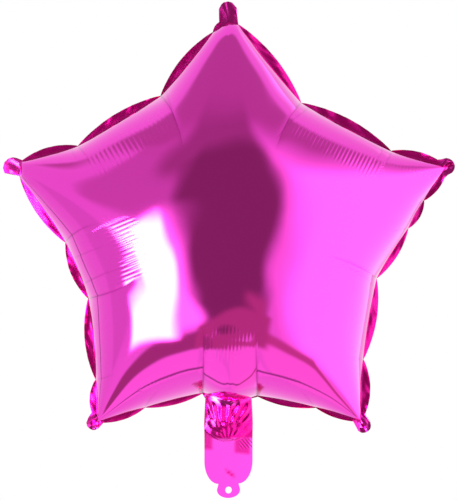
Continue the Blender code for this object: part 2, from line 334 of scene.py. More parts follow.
def starFilm(seam, first, last):
    t = np.linspace(0, 1, star["rings"] + 1)[1:, None]
    share = (1 - star["rimCrowding"]) * t + star["rimCrowding"] * np.sin(math.pi / 2 * t)
    x = share * seam[:, 0]
    z = share * seam[:, 1]
    rim = np.full(len(seam), star["film"] / 2)
    rim[first:last + 1] = neckSection(np.linspace(-1, 1, last - first + 1))
    plain, _ = filmSquares(x, z, np.zeros(len(seam)), 1.0)
    centre, squares = filmSquares(x, z, rim ** 2, star["halfDepth"] ** 2 / plain)
    inward = np.linalg.norm(seam[:, :2], axis=1) * (1 - share)
    return x, z, inward, math.sqrt(centre), np.sqrt(squares)


def creaseFields(x, z):
    # depth of the creases, and for their sharp lines the signed distance and strength, in two sets;
    # the distance goes on past a crease's reach, so that it doesn't jump through zero beside it
    along = np.linspace(0, 1, 12)
    depth = np.zeros(x.shape)
    gaps = np.full((2, *x.shape), 9.0)
    closest = np.full((2, *x.shape), np.inf)
    force = np.zeros((2, *x.shape))
    for order, (point, middle, end, deep, width) in enumerate(creases):
        index = int(point)
        start = seamSpot(index)
        start = start + (seamSpot((index + 1) % len(seamPoints)) - start) * (point - index)
        bend = 2 * np.array(middle) - np.array(end) / 2
        path = start + mm * (2 * np.outer(along * (1 - along), bend) + np.outer(along ** 2, end))
        nearest = np.full(x.shape, np.inf)
        side = np.zeros(x.shape)
        reach = np.zeros(x.shape)
        for step in range(len(along) - 1):
            a = path[step]
            ab = path[step + 1] - a
            t = np.clip(((x - a[0]) * ab[0] + (z - a[1]) * ab[1]) / (ab @ ab), 0, 1)
            gap = np.hypot(x - a[0] - t * ab[0], z - a[1] - t * ab[1])
            closer = gap < nearest
            nearest = np.where(closer, gap, nearest)
            side = np.where(closer, np.sign((x - a[0]) * ab[1] - (z - a[1]) * ab[0]), side)
            reach = np.where(closer, along[step] + t * (along[step + 1] - along[step]), reach)
        fade = (1 - reach) ** 0.8
        flat = np.sqrt((nearest / mm) ** 2 + 0.5) - math.sqrt(0.5)
        depth -= deep * mm * fade * np.exp(-flat / (width * (1 + 0.6 * reach)))
        layer = order % 2
        near = np.clip(4.5 - nearest / mm, 0, 1) * fade * min(1.7, deep / 0.4)
        stronger = (near > force[layer]) | ((force[layer] == 0) & (nearest < closest[layer]))
        closest[layer] = np.minimum(closest[layer], nearest)
        force[layer] = np.maximum(near, force[layer])
        gaps[layer] = np.where(stronger, np.clip(side * nearest / mm, -9, 9), gaps[layer])
    return depth, gaps, force


def pleatFields(x, z):
    # turns across the pleats and their rise in millimetres, each rib with its own height and reach;
    # where two stretches meet, the place belongs to the higher pleats
    rng = np.random.default_rng(star["seed"])
    turns = np.zeros(x.shape)
    rise = np.zeros(x.shape)
    taken = np.zeros(x.shape, bool)
    for point, spacing, height, begin, end in sorted(pleats, key=lambda row: -row[2]):
        a = seamSpot(point)
        b = seamSpot(point + 1)
        length = np.linalg.norm(b - a)
        along = (b - a) / length
        run = ((x - a[0]) * along[0] + (z - a[1]) * along[1]) / mm
        inward = ((x - a[0]) * along[1] - (z - a[1]) * along[0]) / mm
        share = run * mm / length
        ribs = math.ceil(length / mm / spacing)
        rib = np.clip(np.floor(run / spacing), 0, ribs - 1).astype(int)
        high = height * rng.uniform(0.8, 1.15, ribs)[rib]
        reach = end * rng.uniform(0.90, 1.05, ribs)[rib]
        high *= np.clip((inward - begin) / 5, 0, 1) * np.clip((reach - inward) / 6, 0, 1)
        high *= np.clip(np.minimum(share, 1 - share) * 10, 0, 1)
        band = (share > 0) & (share < 1) & (inward > begin - 5) & (inward < end * 1.05 + 5) & ~taken
        rise = np.where(band, high, rise)
        turns = np.where(band, run / spacing, turns)
        taken |= band
    return turns, rise


def waveField(x, z, side):
    # the slack that is left in the film, in long shallow waves
    rng = np.random.default_rng(star["seed"] + 40 + side)
    total = np.zeros(x.shape)
    for step in range(star["slackWaves"]):
        turn = rng.uniform(0, 2 * math.pi)
        length = rng.uniform(*star["slackLength"])
        shift = rng.uniform(0, 2 * math.pi)
        wave = np.sin((x * math.cos(turn) + z * math.sin(turn)) / length * 2 * math.pi + shift)
        total += wave * length * star["slackHeight"]
    return total


# The film just above the neck, in metres
neckFront = {
    "columnHeight": 0.066,      # the crowned film ends in an arch this far above the seam
    "archBow": 0.15,
    "crown": 0.0011,
    "droop": 0.0068,            # how far the film sags over the neck
    "droopFrom": 0.008,         # it sags less and less above this height
    "droopFade": 0.030,
    "droopBelow": 0.034,        # and the neck takes up the sag over this length
    "roundness": 0.06,          # of the sag's lowest point
    "roundStart": 0.245,
    "roundSpan": 0.785,
}


def neckColumn(x, z, seam, first, last):
    # between its two long creases the film is crowned a little, up to an arched end
    left = seam[last, 0]
    right = seam[first, 0]
    low = (seam[first, 1] + seam[last, 1]) / 2
    across = (x - (left + right) / 2) / ((right - left) / 2)
    up = (z - low) / neckFront["columnHeight"]
    arch = np.clip(4 * (1 - up - neckFront["archBow"] * across ** 2), 0, 1)
    crown = neckFront["crown"] * np.clip(1 - across ** 2, 0, None) * np.clip(5 * up, 0, 1)
    return crown * smoothed(arch)


def neckDroop(across, up):
    # the film sags over the neck, like the fold of a cloth that is held at two corners
    away = np.sqrt(across ** 2 + neckFront["roundness"]) - neckFront["roundStart"]
    tent = np.clip(1 - away / neckFront["roundSpan"], 0, 1)
    above = np.clip(1 - (up - neckFront["droopFrom"]) / neckFront["droopFade"], 0, 1)
    below = np.clip(1 + up / neckFront["droopBelow"], 0, 1)
    return neckFront["droop"] * tent * np.where(up > 0, smoothed(above), below)


def raiseFilm(place, amount, away):
    # moves a sheet's film along its own normals
    alongRing = np.gradient(place, axis=0)
    alongColumn = np.roll(place, -1, axis=1) - np.roll(place, 1, axis=1)
    normal = np.cross(alongRing, alongColumn)
    normal /= np.linalg.norm(normal, axis=2, keepdims=True) + 1e-12
    normal *= np.where(normal[..., 1:2] * away < 0, -1, 1)
    return place + normal * amount[..., None]


def tailRows():
    # height and half width of each row; the neck is as wide as the tab two thirds of the way down
    rows = []
    for step in range(1, tail["neckRows"] + 1):
        share = step / tail["neckRows"]
        half = (tail["neckWidth"] + (tail["tabWidth"] - tail["neckWidth"]) * min(1, share * 1.5)) / 2
        rows.append((neckTop - tail["neckLength"] * share, half))
    low = tail["earRise"] + tail["tabCorner"]
    for step in range(1, tail["tabRows"] + 1):
        rows.append((tabTop + (low - tabTop) * step / tail["tabRows"], tail["tabWidth"] / 2))
    for step in range(1, tail["cornerRows"] + 1):
        turn = math.pi / 2 * step / tail["cornerRows"]
        half = tail["waistWidth"] / 2 + (tail["tabWidth"] - tail["waistWidth"]) / 2 * math.cos(turn)
        rows.append((tail["earRise"] + tail["tabCorner"] * (1 - math.sin(turn)), half))
    return rows


def earEdge(u, v):
    # the ear's outline for a spot on the edge of its square grid, u across and v down, both -1 to 1
    waist = Vector((tail["waistWidth"] / 2, tail["earRise"]))
    if v <= -1 + 1e-9:
        return Vector((u * waist.x, waist.y))
    # run of the rounded edge from the waist, over the widest place, to the lowest one
    run = (v + 1) / 4 if abs(u) > 1 - 1e-9 else 1 - abs(u) / 2
    widest = 0.2
    if run < widest:
        share = run / widest
        half = waist.x + (tail["earWidth"] / 2 - waist.x) * (1 - math.cos(math.pi * share)) / 2
        edge = Vector((half, waist.y * (1 - share)))
    else:
        turn = math.pi / 2 * (run - widest) / (1 - widest)
        edge = Vector((tail["earWidth"] / 2 * math.cos(turn), -tail["earDrop"] * math.sin(turn)))
    if u < 0:
        edge.x = -edge.x
    return edge


def earPlaces():
    # the ear's grid wraps round the eyelet: its middle block of facets is left open later
    columns = star["neckColumns"]
    rows = tail["earRows"]
    places = {}
    for row in range(1, rows + 1):
        for column in range(columns + 1):
            u = 1 - 2 * column / columns
            v = 2 * row / rows - 1
            out = max(abs(u), abs(v), 1e-6)
            outer = earEdge(u / out, v / out)
            inner = outer.normalized() * tail["eyelet"] / 2
            places[row, column] = inner.lerp(outer, max(0.0, 2 * out - 1))
    return places


def foldWave(value):
    return np.abs(value % 1 - 0.5) * 4 - 1


# The neck's folds. Places are in metres, down from the neck's top, and heights in shares of the crumple.
neckFolds = {
    "meetAcross": -0.0015,      # they are drawn together here,
    "meetBelow": 0.004,         # this far below the neck's end
    "upper": 15,                # folds in a half turn, above the cross fold
    "lower": 9,                 # and below it
    "height": 1.2,
    "fullAway": 0.030,          # they reach that height this far from where they meet
    "change": 0.0205,
    "changeLength": 0.003,
    "crossFold": 0.0225,
    "crossWidth": 0.0017,
    "crossHeight": 1.3,
    "slant": 0.1,
    "loose": 3,                 # and a few that run any way
    "looseLean": 0.9,
    "loosePitch": (0.010, 0.018),
    "looseHeight": 0.35,
}


def crumple(x, height, side):
    # folds that are drawn together towards the neck's lowest point, and one fold across them
    rng = np.random.default_rng(star["seed"] + 20 + side)
    down = neckTop - height
    toMeet = tail["neckLength"] + neckFolds["meetBelow"] - down
    across = x - neckFolds["meetAcross"]
    away = np.hypot(across, toMeet)
    turn = np.arctan2(across, toMeet) / math.pi
    high = neckFolds["height"] * np.clip(away / neckFolds["fullAway"], 0.15, 1.1)
    slant = neckFolds["slant"] * x
    total = np.zeros(x.shape)
    lower = np.clip((down - neckFolds["change"] - slant) / neckFolds["changeLength"], 0, 1)
    for count, share in ((neckFolds["upper"], 1 - lower), (neckFolds["lower"], lower)):
        bend = 0.25 * np.sin(away * 160 + rng.uniform(0, 6))
        total += high * share * foldWave(turn * count + bend + rng.uniform(0, 1))
    fromFold = (down - neckFolds["crossFold"] - slant) / neckFolds["crossWidth"]
    total += neckFolds["crossHeight"] * np.exp(-fromFold ** 2)
    for step in range(neckFolds["loose"]):
        lean = rng.uniform(-neckFolds["looseLean"], neckFolds["looseLean"])
        pitch = rng.uniform(*neckFolds["loosePitch"])
        wave = (x * math.sin(lean) + height * math.cos(lean)) / pitch
        bend = 0.3 * np.sin(x * 200 + rng.uniform(0, 6))
        total += neckFolds["looseHeight"] * foldWave(wave + bend + rng.uniform(0, 1))
    return total


def tailDepths(across, x, height, side):
    # half thickness of the tail, and how far both sheets are pushed to the back
    down = neckTop - height
    reach = tail["neckLength"] * tail["hollowEnd"] - tail["neckBow"] * across ** 2
    opened = np.clip(1 - down / reach, 0, 1)
    section = (neckSection(across) - star["film"] / 2) * opened ** 0.5
    begin = np.clip((down - tail["crumpleStart"]) / tail["crumpleFade"], 0, 1)
    hold = np.clip(opened * 6, 0, 1) * begin * np.clip((1 - np.abs(across)) * 5, 0.1, 1)
    both = crumple(x, height, 0) * 0.4
    own = crumple(x, height, 1 + side) * 0.6
    deep = star["film"] / 2 + np.maximum(section + tail["crumple"] * hold * own, 0)
    return deep, tail["crumple"] * hold * both


# Where painted reflection deepens the tail's colour. Across runs from -1 at the left edge to 1 at the right
# one.
tailReflectionPaint = {
    "neck": 0.98,
    "neckLeftLess": 0.22,
    "patch": 0.75,
    "leftPatch": -0.62,         # where it ends across, going left to right
    "rightPatch": (0.18, 0.94),
    "patchLength": 0.0125,
    "patchSlant": 0.003,
    "dentAcross": 0.08,
    "dentHalf": 0.22,
    "dentHeight": 0.0145,
    "dentSlant": 0.0028,
    "dentWidth": 0.0015,
}


def paintTailReflection(across, height):
    # painted reflection: the crumpled neck mirrors itself, which deepens its colour; two patches under it
    # get the same painted reflection, and a small dent in the tab gets painted shade
    down = neckTop - height
    left = np.clip((-across - 0.30) / 0.3, 0, 1)
    neck = tailReflectionPaint["neck"] - tailReflectionPaint["neckLeftLess"] * left
    neck = neck * np.clip((down - 0.001) / 0.004, 0, 1) * np.clip((height - tabTop) / 0.002, 0, 1)
    begin, end = tailReflectionPaint["rightPatch"]
    patches = np.clip((tailReflectionPaint["leftPatch"] - across) / 0.12, 0, 1)
    patches += np.clip((across - begin) / 0.14, 0, 1) * np.clip((end - across) / 0.12, 0, 1)
    length = tailReflectionPaint["patchLength"] + tailReflectionPaint["patchSlant"] * across
    patches *= np.clip((height - tabTop + length) / 0.003, 0, 1)
    along = (across - tailReflectionPaint["dentAcross"]) / tailReflectionPaint["dentHalf"]
    above = height - tailReflectionPaint["dentHeight"] + tailReflectionPaint["dentSlant"] * along
    dent = np.exp(-along ** 4 - (above / tailReflectionPaint["dentWidth"]) ** 2)
    return np.maximum(np.maximum(neck, tailReflectionPaint["patch"] * patches), dent)


# The film is gathered hard at the neck's two corners, where painted shade deepens its colour in a patch
# like a small flag:
# height above the seam and width there, in millimetres
cornerFlag = ((-1, 3.5), (0, 3.5), (5, 4), (10, 9.5), (13.5, 0))
cornerPaintedShade = 0.9


def paintCornerShade(x, z, seam, first, last):
    # painted shade in the gathered corners
    heights, widths = zip(*cornerFlag)
    paintedShade = np.zeros(x.shape)
    for corner, away, size in ((first, 1, 0.75), (last, -1, 1.0)):
        outside = (x - seam[corner, 0]) * away / mm
        above = (z - seam[corner, 1]) / mm
        wide = size * np.interp(above, heights, widths)
        patch = np.clip((wide - outside) / 0.8, 0, 1) * (outside > -0.6) * (wide > 0.1)
        paintedShade = np.maximum(paintedShade, patch)
    return cornerPaintedShade * paintedShade


# A few fine slanted pleats in the tab's upper right corner
cornerPleats = {
    "across": 0.40,             # where they begin
    "length": 0.009,
    "slant": (0.75, 0.66),
    "spacing": 0.0024,
    "height": 0.05,             # in millimetres
}


def tailPleats(across, half, height):
    inside = np.clip((across - cornerPleats["across"]) / 0.12, 0, 1)
    inside *= np.clip((height - tabTop + cornerPleats["length"]) / 0.002, 0, 1)
    inside *= np.clip((tabTop + 0.001 - height) / 0.002, 0, 1)
    sideways, upwards = cornerPleats["slant"]
    turns = (across * half * sideways + height * upwards) / cornerPleats["spacing"]
    return turns, cornerPleats["height"] * inside


def turnTab(place):
    # the tab hangs turned about its own middle line, and the neck takes up the turn
    share = np.clip((neckTop - place[..., 2]) / (neckTop - tabTop), 0, 1)
    turn = np.radians(tail["tabTurn"]) * smoothed(share)
    x = place[..., 0] * np.cos(turn) - place[..., 1] * np.sin(turn)
    y = place[..., 0] * np.sin(turn) + place[..., 1] * np.cos(turn)
    return np.stack((x, y, place[..., 2]), axis=-1)


def slots(co, columns):
    # ring and column of each corner of the flat disc
    ring = np.rint(np.hypot(co[:, 0], co[:, 1])).astype(int)
    turn = np.arctan2(co[:, 0], co[:, 1]) / (2 * math.pi)
    column = np.rint(turn * columns).astype(int) % columns
    return ring, np.where(ring == 0, 0, column)


def flatDisc(columns, first, last, lastRing):
    # a disc with a unit for each ring, where an extruded ring's cross edges are a unit long; past the
    # margin only the neck's stretch is drawn on
    bm = bmesh.new()
    bmesh.ops.create_circle(bm, cap_ends=True, cap_tris=True, segments=columns, radius=1)
    edges = [edge for edge in bm.edges if edge.is_boundary]
    body = star["rings"] + star["marginRings"]
    for ring in range(2, lastRing + 1):
        drawn = bmesh.ops.extrude_edge_only(bm, edges=edges)["geom"]
        for item in drawn:
            if isinstance(item, bmesh.types.BMVert):
                item.co *= ring / (ring - 1)
        edges = [item for item in drawn if isinstance(item, bmesh.types.BMEdge)]
        if ring >= body:
            kept = []
            for edge in edges:
                rings, turns = slots(np.array([vert.co for vert in edge.verts]), columns)
                if (rings == ring).all() and ((turns >= first) & (turns <= last)).all():
                    kept.append(edge)
            edges = kept
        else:
            edges = [edge for edge in edges if abs(edge.verts[0].co.length - edge.verts[1].co.length) < 0.5]
    return bm


def openEyelet(bm, columns, first, last, topRow):
    # deletes the block of facets inside the eyelet
    hole = []
    middle = (first + last) / 2
    for face in bm.faces:
        co = np.array([vert.co for vert in face.verts])
        if np.hypot(co[:, 0], co[:, 1]).min() < topRow - 0.5:
            continue
        ring, column = slots(co, columns)
        u = np.abs(column - middle).max() / ((last - first) / 2)
        v = np.abs(ring - topRow - tail["earRows"] / 2).max() / (tail["earRows"] / 2)
        if max(u, v) < 0.5 + 1e-6:
            hole.append(face)
    bmesh.ops.delete(bm, geom=hole, context="FACES")


def marginPlaces(seam, share, lift):
    # the sealed margin: folds run out from the seam, lean over and grow towards the edge
    rng = np.random.default_rng(star["seed"] + 60)
    run = seam[:, 5]
    wide = np.linalg.norm(seam[:, 2:4] - seam[:, 0:2], axis=1)
    drift = margin["drift"] * np.sin(run / margin["driftLength"])
    fold = np.zeros(len(seam))
    for pitch, lean, rise in margin["folds"]:
        shift = rng.uniform(0, 1)
        fold += rise * foldWave((run + lean * wide * share) / pitch + shift + drift)
    jagged = rng.normal(0, 1, len(seam)) * margin["jagged"]
    flat = seam[:, 0:2] + (seam[:, 2:4] - seam[:, 0:2]) * (share * (1 + jagged * share))[:, None]
    height = margin["foldHeight"] * fold * share * np.clip(wide / margin["fullWidth"], 0, 1.6)
    knob = rng.normal(0, 1, len(seam)) * margin["knobCrumple"] * np.sin(math.pi * (0.15 + 0.75 * share))
    curl = margin["curl"] * wide * share
    curl += margin["curlWave"] * np.sin(run / margin["curlLength"]) * share ** 2
    return np.stack((flat[:, 0], height + knob * seam[:, 6] + curl, flat[:, 1] + lift), axis=-1)


def layStar(place, seam, first, last):
    # the swollen star on both sheets; gives back what the material reads there and the lift
    rings = star["rings"]
    x, z, inward, centre, depths = starFilm(seam, first, last)
    print("film filled")
    lift = neckTop - z[-1, first:last + 1].mean()
    depth, gaps, force = creaseFields(x, z)
    begin = np.clip(inward / 0.003, 0, 1)
    neckMiddle = (seam[first, 0] + seam[last, 0]) / 2
    neckHalf = (seam[first, 0] - seam[last, 0]) / 2
    for side, away in sheets:
        swollen = np.stack((x, away * depths, z + lift), axis=-1)
        amount = (depth + waveField(x, z, side) + neckColumn(x, z, seam, first, last)) * begin
        place[side, 0] = (0, away * centre, lift)
        place[side, 1:rings + 1] = raiseFilm(swollen, amount, away)
        place[side, rings] = swollen[-1]
        spots = place[side, 1:rings + 1]
        across = (spots[..., 0] - neckMiddle) / neckHalf
        spots[..., 2] -= neckDroop(across, spots[..., 2] - neckTop)
    turns, rise = pleatFields(x, z)
    # this field marks where the film is crumpled and how much painted reflection and shade deepen its
    # colour
    fields = {"crumpleAndPaintedReflection": paintCornerShade(x, z, seam, first, last), "pleatTurns": turns, "pleatRise": rise}
    for layer in (0, 1):
        fields["creaseGap" + "AB"[layer]] = gaps[layer]
        fields["creaseForce" + "AB"[layer]] = force[layer]
    return fields, lift


def layMargin(place, crumpleAndPaintedReflection, seam, lift):
    for ring in range(1, star["marginRings"] + 1):
        spots = marginPlaces(seam, ring / star["marginRings"], lift)
        for side, away in sheets:
            place[side, star["rings"] + ring] = spots
            place[side, star["rings"] + ring, :, 1] += away * star["film"] / 2
        # painted reflection and shade: the crinkled margin mirrors itself, which deepens its colour, less
        # so on the knobs
        crumpleAndPaintedReflection[star["rings"] + ring] = margin["paintedShade"] - margin["knobLess"] * seam[:, 6]


def layTail(place, fields, rows, first, last):
    between = np.arange(first, last + 1)
    across = 1 - 2 * (between - first) / (last - first)
    for row, (height, half) in enumerate(rows):
        ring = star["rings"] + 1 + row
        level = np.full(len(across), height)
        for side, away in sheets:
            deep, push = tailDepths(across, across * half, level, side)
            droop = neckDroop(across, level - neckTop)
            spots = np.stack((across * half, away * deep + push, level - droop), axis=-1)
            place[side, ring, between] = turnTab(spots)
        # painted reflection and shade on the neck, the patches under it and the tab's dent
        fields["crumpleAndPaintedReflection"][ring, between] = paintTailReflection(across, height)
        turns, rise = tailPleats(across, half, height)
        fields["pleatTurns"][ring, between] = turns
        fields["pleatRise"][ring, between] = rise


def layEar(place, crumpleAndPaintedReflection, topRow, first):
    for (row, column), spot in earPlaces().items():
        for side, away in sheets:
            flat = np.array((spot.x, away * star["film"] / 2, spot.y))
            place[side, topRow + row, first + column] = turnTab(flat)
        crumpleAndPaintedReflection[topRow + row, first + column] = 0.0


def layOutFilm(seam, first, last, rows, lastRing):
    # every place on both sheets: side, ring, column; with what the material reads there
    rings = star["rings"]
    place = np.zeros((2, lastRing + 1, len(seam), 3))
    starFields, lift = layStar(place, seam, first, last)
    fields = {}
    for name, values in starFields.items():
        outside = 9.0 if name.startswith("creaseGap") else 0.0
        fields[name] = np.full((lastRing + 1, len(seam)), outside)
        fields[name][1:rings + 1] = values
    layMargin(place, fields["crumpleAndPaintedReflection"], seam, lift)
    # painted reflection at the seam: half the deep tint, none along the neck's stretch
    fields["crumpleAndPaintedReflection"][rings] = 0.5
    fields["crumpleAndPaintedReflection"][rings, first:last + 1] = 0.0
    layTail(place, fields, rows, first, last)
    layEar(place, fields["crumpleAndPaintedReflection"], rings + len(rows), first)
    return place, fields


def seamMap(mesh, ring, column, run, seam, inwardRun):
    # UV map: length along the seam and length in from it, in units of a centimetre
    loops = np.zeros(len(mesh.loops), int)
    mesh.loops.foreach_get("vertex_index", loops)
    totals = np.zeros(len(mesh.polygons), int)
    mesh.polygons.foreach_get("loop_total", totals)
    face = np.repeat(np.arange(len(totals)), totals)
    columns = len(seam)
    loopColumn = column[loops]
    highest = np.zeros(len(totals), int)
    np.maximum.at(highest, face, loopColumn)
    u = seam[loopColumn, 5]
    wraps = (loopColumn == 0) & (highest[face] > columns / 2) & (ring[loops] > 0)
    u = np.where(wraps, run, u)
    v = inwardRun[ring[loops], loopColumn]
    layer = mesh.uv_layers.new(name="seamMap")
    layer.uv.foreach_set("vector", (np.stack((u, v), axis=1) * 100).ravel())


def drawSheets(columns, first, last, topRow, lastRing):
    # both sheets flat, the back one a unit below the front one
    bm = flatDisc(columns, first, last, lastRing)
    openEyelet(bm, columns, first, last, topRow)
    copied = bmesh.ops.extrude_face_region(bm, geom=list(bm.faces), use_keep_orig=True)["geom"]
    back = [item for item in copied if isinstance(item, bmesh.types.BMVert)]
    bmesh.ops.translate(bm, verts=back, vec=(0, 0, -1))
    mesh = bpy.data.meshes.new("starFilm")
    bm.to_mesh(mesh)
    bm.free()
    print("sheets drawn,", len(mesh.polygons), "facets")
    return mesh


def inwardRuns(place):
    # how far in from the seam each ring and column lies, as the front sheet is seen
    flat = place[0][..., [0, 2]]
    steps = np.linalg.norm(np.diff(flat, axis=0), axis=2)
    runs = np.zeros(flat.shape[:2])
    runs[1:] = np.cumsum(steps, axis=0)
    return runs[star["rings"]] - runs


def buildBalloon():
    seam, run = layOutSeam()
    columns = len(seam)
    first = int(np.argmax(seam[:, 4] == neckPoint))
    last = int(np.argmax(seam[:, 4] == neckPoint + 1))
    rows = tailRows()
    topRow = star["rings"] + len(rows)
    lastRing = topRow + tail["earRows"]
    print("seam laid out,", columns, "columns")
    place, fields = layOutFilm(seam, first, last, rows, lastRing)
    mesh = drawSheets(columns, first, last, topRow, lastRing)
    co = np.zeros(len(mesh.vertices) * 3)
    mesh.vertices.foreach_get("co", co)
    co = co.reshape(-1, 3)
    ring, column = slots(co, columns)
    side = (co[:, 2] < -0.5).astype(int)
    mesh.vertices.foreach_set("co", place[side, ring, column].ravel())
    for name, values in fields.items():
        attribute = mesh.attributes.new(name, "FLOAT", "POINT")
        attribute.data.foreach_set("value", values[ring, column])
    seamMap(mesh, ring, column, run, seam, inwardRuns(place))
    bm = bmesh.new()
    bm.from_mesh(mesh)
    bmesh.ops.recalc_face_normals(bm, faces=bm.faces)
    print("triangles", sum(len(face.verts) - 2 for face in bm.faces))
    bm.to_mesh(mesh)
    bm.free()
    mesh.shade_smooth()
    mesh.set_sharp_from_angle(angle=math.radians(star["sharpAngle"]))
    sheet = bpy.data.objects.new("starBalloonFilm", mesh)
    bpy.context.scene.collection.objects.link(sheet)
    return sheet


def mathNode(nodes, links, operation, first, second=None):
    node = nodes.new("ShaderNodeMath")
    node.operation = operation
    for slot, value in enumerate((first, second)):
        if value is None:
            continue
        if isinstance(value, (int, float)):
            node.inputs[slot].default_value = value
        else:
            links.new(value, node.inputs[slot])
    return node.outputs[0]


def carried(nodes, name):
    # a value that the mesh carries
    node = nodes.new("ShaderNodeAttribute")
    node.attribute_name = name
    return node.outputs["Fac"]


def mixColour(nodes, links, under, share, colour):
    mix = nodes.new("ShaderNodeMix")
    mix.data_type = "RGBA"
    links.new(share, mix.inputs["Factor"])
    if isinstance(under, tuple):
        mix.inputs["A"].default_value = under
    else:
        links.new(under, mix.inputs["A"])
    mix.inputs["B"].default_value = colour
    return mix.outputs["Result"]


def noiseNode(nodes, links, coordinates, scale, detail):
    noise = nodes.new("ShaderNodeTexNoise")
    noise.inputs["Scale"].default_value = scale
    noise.inputs["Detail"].default_value = detail
    links.new(coordinates, noise.inputs["Vector"])
    return noise


foil = {
    "tint": (0.88, 0.050, 0.61),
    # the deep tint is painted reflection: where the film is crumpled it mirrors itself, which deepens its
    # colour
    "paintedReflectionTint": (0.60, 0.003, 0.23),
    "roughness": 0.07,
    "marginRoughness": 0.30,
    "coat": 0.35,
    "marginCoat": 0.05,
    "coatRoughness": 0.04,
    "lineWidth": 0.65,          # half width of a crease's sharp line, in millimetres
    "lineDepth": 0.12,          # and its depth
    "creaseShadeStrength": 0.95,           # painted shade along the crease: the film mirrors itself there, which deepens its colour
    "creasePaintedShade": (0.46, 0.003, 0.30),
    "crinkleScale": (3.6, 0.8, 1.0),    # for each centimetre along the seam and in from it
    "crinkleDepth": 0.04,
    "unevenScale": 38.0,
    "unevenDepth": 0.10,
}


def creaseLine(nodes, links, layer):
    # a sharp line along each crease, from the signed distance that the mesh carries
    distance = mathNode(nodes, links, "ABSOLUTE", carried(nodes, "creaseGap" + layer))
    narrow = mathNode(nodes, links, "DIVIDE", distance, -foil["lineWidth"])
    line = mathNode(nodes, links, "EXPONENT", narrow)
    return mathNode(nodes, links, "MULTIPLY", line, carried(nodes, "creaseForce" + layer))


def foilColour(nodes, links, shader, crumpleAndPaintedReflection, lines):
    # the base colour carries painted reflection: the deep tint where the film is crumpled
    tint = mixColour(nodes, links, (*foil["tint"], 1), crumpleAndPaintedReflection, (*foil["paintedReflectionTint"], 1))
    # painted shade along the creases' sharp lines
    strength = mathNode(nodes, links, "MULTIPLY", lines, foil["creaseShadeStrength"])
    lined = mixColour(nodes, links, tint, strength, (*foil["creasePaintedShade"], 1))
    links.new(lined, shader.inputs["Base Color"])


def foilGloss(nodes, links, shader, crumpleAndPaintedReflection):
    # where the film is crumpled it is duller
    shader.inputs["Metallic"].default_value = 1.0
    shader.inputs["Coat Roughness"].default_value = foil["coatRoughness"]
    for socket, plain, crumpled in (("Roughness", "roughness", "marginRoughness"),
                                    ("Coat Weight", "coat", "marginCoat")):
        ramp = nodes.new("ShaderNodeMapRange")
        ramp.inputs["To Min"].default_value = foil[plain]
        ramp.inputs["To Max"].default_value = foil[crumpled]
        links.new(crumpleAndPaintedReflection, ramp.inputs["Value"])
        links.new(ramp.outputs["Result"], shader.inputs[socket])


def foilRelief(nodes, links, shader, crumpleAndPaintedReflection, lines):
    # sharp creases, fine crinkles that run out from the seam, a faint unevenness and the pleats
    sunk = mathNode(nodes, links, "MULTIPLY", lines, -foil["lineDepth"])
    seamCo = nodes.new("ShaderNodeUVMap")
    seamCo.uv_map = "seamMap"
    stretch = nodes.new("ShaderNodeMapping")
    stretch.inputs["Scale"].default_value = foil["crinkleScale"]
    links.new(seamCo.outputs["UV"], stretch.inputs["Vector"])
    crinkle = noiseNode(nodes, links, stretch.outputs["Vector"], 1.0, 1.0)
    crinkle.noise_type = "RIDGED_MULTIFRACTAL"
    folds = mathNode(nodes, links, "MULTIPLY", crinkle.outputs["Fac"], crumpleAndPaintedReflection)
    folds = mathNode(nodes, links, "MULTIPLY", folds, foil["crinkleDepth"])
    objectCo = nodes.new("ShaderNodeTexCoord").outputs["Object"]
    uneven = noiseNode(nodes, links, objectCo, foil["unevenScale"], 1.0)
    faint = mathNode(nodes, links, "MULTIPLY", uneven.outputs["Fac"], foil["unevenDepth"])
    turns = mathNode(nodes, links, "MULTIPLY", carried(nodes, "pleatTurns"), 2 * math.pi)
    wave = mathNode(nodes, links, "SINE", turns)
    ribs = mathNode(nodes, links, "MULTIPLY", wave, carried(nodes, "pleatRise"))
    height = mathNode(nodes, links, "ADD", sunk, folds)
    height = mathNode(nodes, links, "ADD", height, faint)
    height = mathNode(nodes, links, "ADD", height, ribs)
    bump = nodes.new("ShaderNodeBump")
    bump.inputs["Distance"].default_value = mm
    links.new(height, bump.inputs["Height"])
    links.new(bump.outputs["Normal"], shader.inputs["Normal"])


def foilMaterial():
    material = bpy.data.materials.new("magentaFoil")
    material.use_nodes = True
    nodes = material.node_tree.nodes
    links = material.node_tree.links
    shader = nodes["Principled BSDF"]
    # where the film is crumpled, which also sets how much painted reflection deepens its colour
    crumpleAndPaintedReflection = carried(nodes, "crumpleAndPaintedReflection")
    lines = mathNode(nodes, links, "ADD", creaseLine(nodes, links, "A"), creaseLine(nodes, links, "B"))
    foilColour(nodes, links, shader, crumpleAndPaintedReflection, lines)
    foilGloss(nodes, links, shader, crumpleAndPaintedReflection)
    foilRelief(nodes, links, shader, crumpleAndPaintedReflection, lines)
    return material


def areaLamp(name, place, aim, width, height, radiance):
    light = bpy.data.lights.new(name, "AREA")
    light.shape = "RECTANGLE"
    light.size = width
    light.size_y = height
    light.energy = radiance * math.pi * width * height
    lamp = bpy.data.objects.new(name, light)
    lamp.location = place
    lamp.rotation_euler = (Vector(aim) - Vector(place)).to_track_quat("-Z", "Y").to_euler()
    # it lights the floor and the balloon, but the film doesn't mirror it
    lamp.visible_camera = False
    lamp.visible_glossy = False
    bpy.context.scene.collection.objects.link(lamp)
    return lamp


